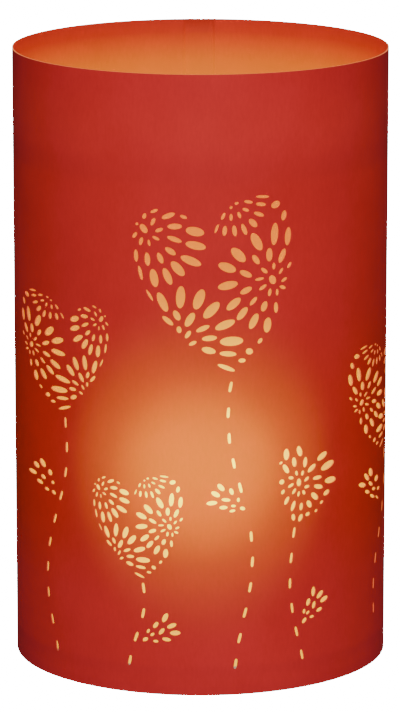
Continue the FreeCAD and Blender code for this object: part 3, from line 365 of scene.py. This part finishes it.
# ---------------------------------------------------------------- materials
class Mat:
    def __init__(self, name):
        self.m = bpy.data.materials.new(name)
        self.m.use_nodes = True
        self.nt = self.m.node_tree
        self.nt.nodes.clear()
        self.out = self.nt.nodes.new("ShaderNodeOutputMaterial")

    def node(self, kind, **props):
        n = self.nt.nodes.new(kind)
        for k, v in props.items():
            setattr(n, k, v)
        return n

    def link(self, a, b):
        self.nt.links.new(a, b)

    def bsdf(self, rough=0.5, metal=0.0, ior=1.45, spec=0.5):
        b = self.node("ShaderNodeBsdfPrincipled")
        b.inputs["Roughness"].default_value = rough
        b.inputs["Metallic"].default_value = metal
        b.inputs["IOR"].default_value = ior
        b.inputs["Specular IOR Level"].default_value = spec
        return b

    def coord(self):
        g = self.node("ShaderNodeNewGeometry")
        return g.outputs["Position"]

    def noise(self, scale, detail=4.0, rough=0.55, vec=None, stretch=None):
        n = self.node("ShaderNodeTexNoise")
        n.inputs["Scale"].default_value = scale
        n.inputs["Detail"].default_value = detail
        n.inputs["Roughness"].default_value = rough
        t = self.node("ShaderNodeTexCoord")
        src = t.outputs["Object"] if vec is None else vec
        if stretch:
            mp = self.node("ShaderNodeMapping")
            mp.inputs["Scale"].default_value = stretch
            self.link(src, mp.inputs["Vector"])
            src = mp.outputs["Vector"]
        self.link(src, n.inputs["Vector"])
        return n.outputs["Fac"]

    def ramp(self, fac, stops):
        r = self.node("ShaderNodeValToRGB")
        els = r.color_ramp.elements
        while len(els) > 1:
            els.remove(els[-1])
        els[0].position = stops[0][0]
        els[0].color = (*stops[0][1], 1)
        for p, c in stops[1:]:
            e = els.new(p)
            e.color = (*c, 1)
        self.link(fac, r.inputs["Fac"])
        return r.outputs["Color"]

    def math(self, op, a, b=None, c=None, clamp=False):
        n = self.node("ShaderNodeMath", operation=op)
        n.use_clamp = clamp
        for i, v in enumerate((a, b, c)):
            if v is None:
                continue
            if isinstance(v, (int, float)):
                n.inputs[i].default_value = v
            else:
                self.link(v, n.inputs[i])
        return n.outputs[0]

    def mixc(self, fac, a, b, mode="MIX"):
        n = self.node("ShaderNodeMix", data_type="RGBA", blend_type=mode)
        if isinstance(fac, (int, float)):
            n.inputs[0].default_value = fac
        else:
            self.link(fac, n.inputs[0])
        for sock, v in ((n.inputs[6], a), (n.inputs[7], b)):
            if isinstance(v, tuple):
                sock.default_value = (*v, 1)
            else:
                self.link(v, sock)
        return n.outputs[2]

    def bump(self, height, strength=0.2, dist=0.0003):
        b = self.node("ShaderNodeBump")
        b.inputs["Strength"].default_value = strength
        b.inputs["Distance"].default_value = dist
        self.link(height, b.inputs["Height"])
        return b.outputs["Normal"]

    def done(self, shader):
        self.link(shader, self.out.inputs["Surface"])
        return self.m


def by_height(m, stops):
    """a colour ramp up the lantern, the same all the way round; stops in metres"""
    sep = m.node("ShaderNodeSeparateXYZ")
    m.link(m.coord(), sep.inputs[0])
    return m.ramp(m.math("DIVIDE", sep.outputs["Z"], 0.26, clamp=True), [(z / 0.26, c) for z, c in stops])


def card_material(name, base_a, base_b, through, share, stops, uneven=0.35, dim_top=False):
    m = Mat(name)
    fibre = m.noise(900, 5, 0.6, stretch=(1, 1, 0.35))
    cloud = m.noise(38, 4, 0.55)
    speck = m.noise(2600, 2, 0.5)
    tone = m.math("ADD", m.math("MULTIPLY", fibre, 0.45), m.math("MULTIPLY", cloud, 0.55))
    b = m.bsdf(rough=0.62, spec=0.10)
    m.link(m.ramp(tone, [(0.30, base_a), (0.70, base_b)]), b.inputs["Base Color"])
    h = m.math("ADD", m.math("MULTIPLY", fibre, 0.7), m.math("MULTIPLY", speck, 0.3))
    m.link(m.bump(h, 0.2, 0.00010), b.inputs["Normal"])
    m.link(m.math("ADD", m.math("MULTIPLY", fibre, 0.25), 0.5), b.inputs["Roughness"])
    # painted light: stops give an emission ramp up the height, the glow of the lamp shining through
    e = by_height(m, stops)
    # painted glow: the emission colour stands in for the lamp's light through the card, and is a little uneven, as
    # fibres are
    e = m.mixc(uneven, e, m.mixc(1.0, e, m.ramp(tone, [(0.3, (0.72, 0.7, 0.7)), (0.7, (1.25, 1.28, 1.3))]), "MULTIPLY"))
    m.link(e, b.inputs["Emission Color"])
    b.inputs["Emission Strength"].default_value = 1.0
    t = m.node("ShaderNodeBsdfTranslucent")
    t.inputs["Color"].default_value = (*through, 1)
    mix = m.node("ShaderNodeMixShader")
    mix.inputs[0].default_value = share
    if dim_top:
        # the bare card above the liner lets a little less through
        m.link(by_height(m, [(0.205, (share,) * 3), (0.222, (share * 0.3,) * 3)]), mix.inputs[0])
    m.link(b.outputs[0], mix.inputs[1])
    m.link(t.outputs[0], mix.inputs[2])
    return m.done(mix.outputs[0])


# painted glow: the outside's emission paints a dim red light from within; the inside's emission paints more of the
# lamp's own colour, in a bright band near the top rim
card_outer = card_material("red_card_outer", (0.62, 0.025, 0.023), (0.72, 0.033, 0.030), (0.90, 0.30, 0.03), 0.15,
                           [(0.0, (0.075, 0.0055, 0.0100)), (0.04, (0.070, 0.0050, 0.0080)), (0.07, (0.070, 0.0050, 0.0010)), (0.12, (0.070, 0.0050, 0.0010)), (0.15, (0.065, 0.0045, 0.0070)), (0.21, (0.055, 0.0040, 0.0070)), (0.25, (0.050, 0.0030, 0.0060))], dim_top=True)
# painted shade: the inside is the same red card given a darker base colour
card_inner = card_material("red_card_inner", (0.20, 0.012, 0.006), (0.26, 0.018, 0.008), (0.90, 0.30, 0.03), 0.15,
                           [(0.0, (0.05, 0.006, 0.002)), (0.216, (0.30, 0.06, 0.006)), (0.226, (0.88, 0.25, 0.005)),
                            (0.232, (0.80, 0.21, 0.005)), (0.2405, (0.62, 0.090, 0.008)), (0.2446, (0.44, 0.038, 0.010)),
                            (0.25, (0.36, 0.022, 0.012))], 0.2)


def cut_edge_material():
    m = Mat("red_card_cut_edge")
    f = m.noise(1800, 3, 0.6)
    b = m.bsdf(rough=0.8, spec=0.1)
    m.link(m.ramp(f, [(0.3, (0.40, 0.05, 0.03)), (0.7, (0.55, 0.09, 0.05))]), b.inputs["Base Color"])
    # painted glow: emission on the cut edges, dark at the foot, brightest at the flame's height, with a bright painted
    # line along the top rim
    e = by_height(m, [(0.0, (0.05, 0.004, 0.002)), (0.02, (0.30, 0.05, 0.01)), (0.078, (0.60, 0.20, 0.03)),
                      (0.20, (0.40, 0.06, 0.01)), (0.249, (0.40, 0.05, 0.01)), (0.2496, (1.0, 0.24, 0.03))])
    m.link(e, b.inputs["Emission Color"])
    b.inputs["Emission Strength"].default_value = 1.0
    m.link(m.bump(f, 0.3, 0.0001), b.inputs["Normal"])
    return m.done(b.outputs[0])


sleeve, kept_cuts = build_sleeve()
for mat in (card_outer, card_inner, cut_edge_material()):
    sleeve.data.materials.append(mat)
print("cut-outs", len(kept_cuts), "faces", len(sleeve.data.polygons))

# the overlap flap behind the seam, joined to the sleeve's own sheet
deg = 180.0 / (math.pi * R)
flap = tube_strip("card_seam_flap", 0.0748, 0.0753, 0.008, H - 0.0002, 180.0 - 0.006 * deg, 180.0 + 0.0072 * deg, 10, 40)
flap.data.materials.append(card_inner)
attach(sleeve, "shade")
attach(flap, "shade")
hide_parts("lantern_sleeve")


# painted glow: the liner's emission is bright yellow low down, round the flame's height, and turns dull red higher up,
# standing in for the lamp's light
parchment = card_material("parchment_liner", (0.78, 0.54, 0.028), (0.88, 0.64, 0.036), (0.95, 0.70, 0.06), 0.45,
                          [(0.012, (1.30, 0.75, 0.010)), (0.03, (1.35, 0.80, 0.010)), (0.06, (1.25, 0.75, 0.010)),
                           (0.10, (1.15, 0.60, 0.008)), (0.135, (0.90, 0.42, 0.008)), (0.15, (0.75, 0.24, 0.006)),
                           (0.165, (0.70, 0.10, 0.005)), (0.19, (0.70, 0.02, 0.004)), (0.215, (0.70, 0.02, 0.004))], 0.5)


stop = 0.0095 * deg
liner = tube_strip("parchment_liner", 0.07505, 0.0753, 0.008, 0.215, -180.0 + stop, 180.0 - stop, 220, 60)
liner.data.materials.append(parchment)
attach(liner, "shade")
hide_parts("inner_liner")


# ---------------------------------------------------------------- the other pieces' surfaces
def plastic(name, c0, c1, rough, scale=500, strength=0.12, spec=0.5, speck=None):
    m = Mat(name)
    f = m.noise(scale, 5, 0.6)
    w = m.noise(scale * 0.06, 3, 0.5)
    tone = m.math("ADD", m.math("MULTIPLY", f, 0.4), m.math("MULTIPLY", w, 0.6))
    b = m.bsdf(rough=rough, spec=spec)
    m.link(m.ramp(tone, [(0.3, c0), (0.7, c1)]), b.inputs["Base Color"])
    m.link(m.math("ADD", m.math("MULTIPLY", f, 0.2), rough - 0.1), b.inputs["Roughness"])
    m.link(m.bump(f, strength, 0.0001), b.inputs["Normal"])
    return m.done(b.outputs[0])


def wax_material():
    m = Mat("ivory_wax")
    cloud = m.noise(55, 5, 0.6)
    fine = m.noise(600, 4, 0.6)
    pores = m.noise(220, 2, 0.4)
    b = m.bsdf(rough=0.42, spec=0.4)
    m.link(m.ramp(cloud, [(0.3, (0.66, 0.54, 0.34)), (0.7, (0.80, 0.70, 0.48))]), b.inputs["Base Color"])
    b.inputs["Subsurface Weight"].default_value = 0.35
    b.inputs["Subsurface Radius"].default_value = (0.012, 0.006, 0.003)
    b.inputs["Subsurface Scale"].default_value = 1.0
    hsum = m.math("ADD", m.math("MULTIPLY", fine, 0.35), m.math("MULTIPLY", pores, 0.65))
    m.link(m.bump(hsum, 0.35, 0.0004), b.inputs["Normal"])
    m.link(m.math("ADD", m.math("MULTIPLY", fine, 0.25), 0.30), b.inputs["Roughness"])
    # painted glow: the wax rim round the flame is given emission, growing towards the top
    sep = m.node("ShaderNodeSeparateXYZ")
    m.link(m.coord(), sep.inputs[0])
    up = m.math("DIVIDE", m.math("SUBTRACT", sep.outputs["Z"], 0.045), 0.027, clamp=True)
    e = m.mixc(m.math("POWER", up, 2.0), (0.02, 0.009, 0.002), (0.42, 0.21, 0.05))
    m.link(e, b.inputs["Emission Color"])
    b.inputs["Emission Strength"].default_value = 0.8
    return m.done(b.outputs[0])


def flame_material():
    m = Mat("frosted_flame")
    f = m.noise(300, 4, 0.5)
    sep = m.node("ShaderNodeSeparateXYZ")
    m.link(m.coord(), sep.inputs[0])
    up = m.math("DIVIDE", m.math("SUBTRACT", sep.outputs["Z"], 0.058), 0.030, clamp=True)
    up = m.math("ADD", m.math("MULTIPLY", up, 0.9), m.math("MULTIPLY", f, 0.1))
    b = m.bsdf(rough=0.4, spec=0.5)
    m.link(m.ramp(up, [(0.0, (0.80, 0.52, 0.24)), (0.6, (0.88, 0.66, 0.34)), (1.0, (0.85, 0.50, 0.20))]), b.inputs["Base Color"])
    m.link(m.ramp(up, [(0.0, (1.0, 0.42, 0.10)), (0.35, (1.0, 0.66, 0.26)), (0.65, (1.0, 0.58, 0.20)), (1.0, (0.9, 0.30, 0.06))]), b.inputs["Emission Color"])
    b.inputs["Emission Strength"].default_value = 7.0
    m.link(m.bump(f, 0.2, 0.0002), b.inputs["Normal"])
    return m.done(b.outputs[0])


def metal(name, c0, c1, rough, scale=900, stretch=(1, 1, 1)):
    m = Mat(name)
    f = m.noise(scale, 4, 0.6, stretch=stretch)
    b = m.bsdf(rough=rough, metal=1.0)
    m.link(m.ramp(f, [(0.3, c0), (0.7, c1)]), b.inputs["Base Color"])
    m.link(m.math("ADD", m.math("MULTIPLY", f, 0.25), rough - 0.1), b.inputs["Roughness"])
    m.link(m.bump(f, 0.1, 0.00005), b.inputs["Normal"])
    return m.done(b.outputs[0])


def cell_material(name, flip):
    m = Mat(name)
    t = m.node("ShaderNodeTexCoord")
    sep = m.node("ShaderNodeSeparateXYZ")
    m.link(t.outputs["Object"], sep.inputs[0])
    x = m.math("MULTIPLY", sep.outputs["X"], -1.0 if flip else 1.0)
    along = m.math("DIVIDE", m.math("ADD", x, 0.0225), 0.045, clamp=True)
    f = m.noise(800, 3, 0.5)
    along2 = m.math("ADD", along, m.math("MULTIPLY", m.math("SUBTRACT", f, 0.5), 0.004))
    r = m.node("ShaderNodeValToRGB")
    r.color_ramp.interpolation = "CONSTANT"
    els = r.color_ramp.elements
    while len(els) > 1:
        els.remove(els[-1])
    els[0].position = 0.0
    els[0].color = (0.35, 0.35, 0.36, 1)
    for p, c in ((0.035, (0.02, 0.02, 0.024)), (0.68, (0.62, 0.30, 0.08)), (0.955, (0.40, 0.40, 0.42))):
        e = els.new(p)
        e.color = (*c, 1)
    m.link(along2, r.inputs["Fac"])
    b = m.bsdf(rough=0.28)
    m.link(r.outputs["Color"], b.inputs["Base Color"])
    m.link(m.math("ADD", m.math("MULTIPLY", f, 0.2), 0.2), b.inputs["Roughness"])
    return m.done(b.outputs[0])


def board_material():
    m = Mat("solder_mask")
    f = m.noise(900, 4, 0.5)
    v = m.node("ShaderNodeTexVoronoi")
    v.inputs["Scale"].default_value = 420
    t = m.node("ShaderNodeTexCoord")
    m.link(t.outputs["Object"], v.inputs["Vector"])
    pads = m.math("LESS_THAN", v.outputs["Distance"], 0.22)
    b = m.bsdf(rough=0.35)
    c = m.mixc(f, (0.010, 0.070, 0.022), (0.022, 0.125, 0.040))
    m.link(m.mixc(pads, c, (0.42, 0.34, 0.16)), b.inputs["Base Color"])
    m.link(m.math("ADD", m.math("MULTIPLY", f, 0.2), 0.25), b.inputs["Roughness"])
    m.link(m.bump(f, 0.1, 0.00005), b.inputs["Normal"])
    return m.done(b.outputs[0])


cream = plastic("cream_moulding", (0.58, 0.50, 0.36), (0.68, 0.60, 0.45), 0.48)
white = plastic("white_moulding", (0.66, 0.66, 0.64), (0.76, 0.76, 0.73), 0.42)
black = plastic("black_moulding", (0.012, 0.012, 0.014), (0.028, 0.028, 0.030), 0.45, 700)
tape = plastic("clear_tape", (0.50, 0.42, 0.30), (0.60, 0.52, 0.38), 0.4, 300, 0.08)
glue = plastic("hot_glue", (0.56, 0.50, 0.38), (0.70, 0.64, 0.50), 0.25, 260, 0.3)
rubber = plastic("foot_rubber", (0.055, 0.055, 0.058), (0.10, 0.10, 0.10), 0.8, 900, 0.35, 0.25)
wire_r = plastic("red_pvc", (0.34, 0.012, 0.008), (0.46, 0.022, 0.014), 0.35, 900, 0.08)
wire_b = plastic("black_pvc", (0.012, 0.012, 0.013), (0.026, 0.026, 0.028), 0.35, 900, 0.08)
coated = plastic("coated_hoop", (0.52, 0.50, 0.46), (0.66, 0.64, 0.60), 0.35, 700, 0.15)
nickel = metal("nickel_plate", (0.50, 0.48, 0.44), (0.66, 0.64, 0.60), 0.28)
zinc = metal("zinc_screw", (0.42, 0.42, 0.43), (0.60, 0.60, 0.61), 0.34)
epoxy = plastic("warm_led_epoxy", (0.80, 0.58, 0.26), (0.90, 0.70, 0.36), 0.2, 500, 0.05)

looks = {
    "sleeve_seam_tape": tape, "liner_tape_top": tape, "liner_tape_bottom": tape, "bottom_hoop": coated,
    "hoop_glue_dabs": glue, "wax_shell": wax_material(), "flame_lens": flame_material(), "base_cap": cream,
    "battery_door": cream, "candle_housing": white, "battery_left": cell_material("cell_jacket_a", False),
    "battery_right": cell_material("cell_jacket_b", True), "contact_springs": nickel, "contact_plates": nickel,
    "circuit_board": board_material(), "led_bulb": epoxy, "switch_body": black, "switch_slider": black,
    "base_screws": zinc, "rubber_feet": rubber, "wire_red": wire_r, "wire_black": wire_b,
}
for name, mat in looks.items():
    ob = nodes[name]
    if not ob.material_slots:
        ob.data.materials.append(mat)
    for s in ob.material_slots:
        s.link = "OBJECT"
        s.material = mat

# ---------------------------------------------------------------- floor, light, camera
def stage_material():
    m = Mat("pale_floor")
    f = m.noise(6, 3, 0.5)
    b = m.bsdf(rough=0.8, spec=0.1)
    m.link(m.mixc(f, (0.90, 0.90, 0.90), (0.92, 0.92, 0.92)), b.inputs["Base Color"])
    b.inputs["Emission Color"].default_value = (1, 1, 1, 1)
    b.inputs["Emission Strength"].default_value = 22.0
    return m.done(b.outputs[0])


me = bpy.data.meshes.new("floor")
S = 6.0
me.from_pydata([(-S, -S, -0.0002), (S, -S, -0.0002), (S, S, -0.0002), (-S, S, -0.0002)], [], [(0, 1, 2, 3)])
floor = bpy.data.objects.new("floor", me)
floor.data.materials.append(stage_material())
bpy.context.scene.collection.objects.link(floor)
floor.visible_diffuse = False
floor.visible_glossy = False
floor.visible_transmission = False

world = bpy.context.scene.world or bpy.data.worlds.new("studio")
bpy.context.scene.world = world
world.use_nodes = True
bg = [n for n in world.node_tree.nodes if n.type == "BACKGROUND"][0]
bg.inputs[0].default_value = (1.0, 1.0, 1.0, 1)
bg.inputs[1].default_value = 0.07
# the backdrop past the floor is as white as the floor, and lights nothing
wn, wl = world.node_tree.nodes, world.node_tree.links
drop = wn.new("ShaderNodeBackground")
drop.inputs[0].default_value = (1.0, 1.0, 1.0, 1)
drop.inputs[1].default_value = 22.0
ray, both = wn.new("ShaderNodeLightPath"), wn.new("ShaderNodeMixShader")
out = [n for n in wn if n.type == "OUTPUT_WORLD"][0]
wl.new(ray.outputs["Is Camera Ray"], both.inputs[0])
wl.new(bg.outputs[0], both.inputs[1])
wl.new(drop.outputs[0], both.inputs[2])
wl.new(both.outputs[0], out.inputs["Surface"])


def put_light(name, kind, loc, target, power, colour=(1, 1, 1), through=(), **props):
    l = bpy.data.lights.new(name, kind)
    l.energy = power
    l.color = colour
    for k, v in props.items():
        setattr(l, k, v)
    o = bpy.data.objects.new(name, l)
    o.location = loc
    o.rotation_euler = (Vector(target) - Vector(loc)).to_track_quat("-Z", "Y").to_euler()
    bpy.context.scene.collection.objects.link(o)
    if through:
        # the paper lets this light through, so these pieces throw no shadow from it
        c = bpy.data.collections.new(name + "_paper")
        for t in through:
            c.objects.link(t)
        o.light_linking.blocker_collection = c
        for child in c.collection_objects:
            child.light_linking.link_state = "EXCLUDE"
    return o


put_light("key", "AREA", (0.05, -1.9, 0.75), (0, 0, 0.12), 28.5, shape="DISK", size=0.5)
put_light("fill_back", "AREA", (0, 2.0, 0.9), (0, 0, 0.12), 14.0, shape="DISK", size=0.8)
paper = [sleeve, liner, flap] + [nodes[n] for n in ("liner_tape_top", "liner_tape_bottom", "sleeve_seam_tape", "flame_lens", "wax_shell")]
beam = dict(colour=(0.85, 1.0, 0.10), through=paper, spot_blend=1.0, shadow_soft_size=0.004)
for name, y in (("flame_front", -1), ("flame_back", 1)):
    put_light(name + "_wide", "SPOT", (0, 0, 0.093), (0, y, 0.093), 0.70, spot_size=math.radians(92), **beam)
    put_light(name + "_core", "SPOT", (0, 0, 0.093), (0, y, 0.093), 0.8, spot_size=math.radians(58), **beam)

cam = bpy.data.cameras.new("camera")
cam.sensor_width = 36.0
cam.lens = 225.4
cam.clip_end = 50
cob = bpy.data.objects.new("camera", cam)
D, EL = 1.8247, math.radians(12.53)
look = Vector((-0.0002, 0.0, 0.1218))
cob.location = look + Vector((0, -math.cos(EL) * D, math.sin(EL) * D))
cob.rotation_euler = (look - cob.location).to_track_quat("-Z", "Y").to_euler()
bpy.context.scene.collection.objects.link(cob)
bpy.context.scene.camera = cob
bpy.context.view_layer.update()
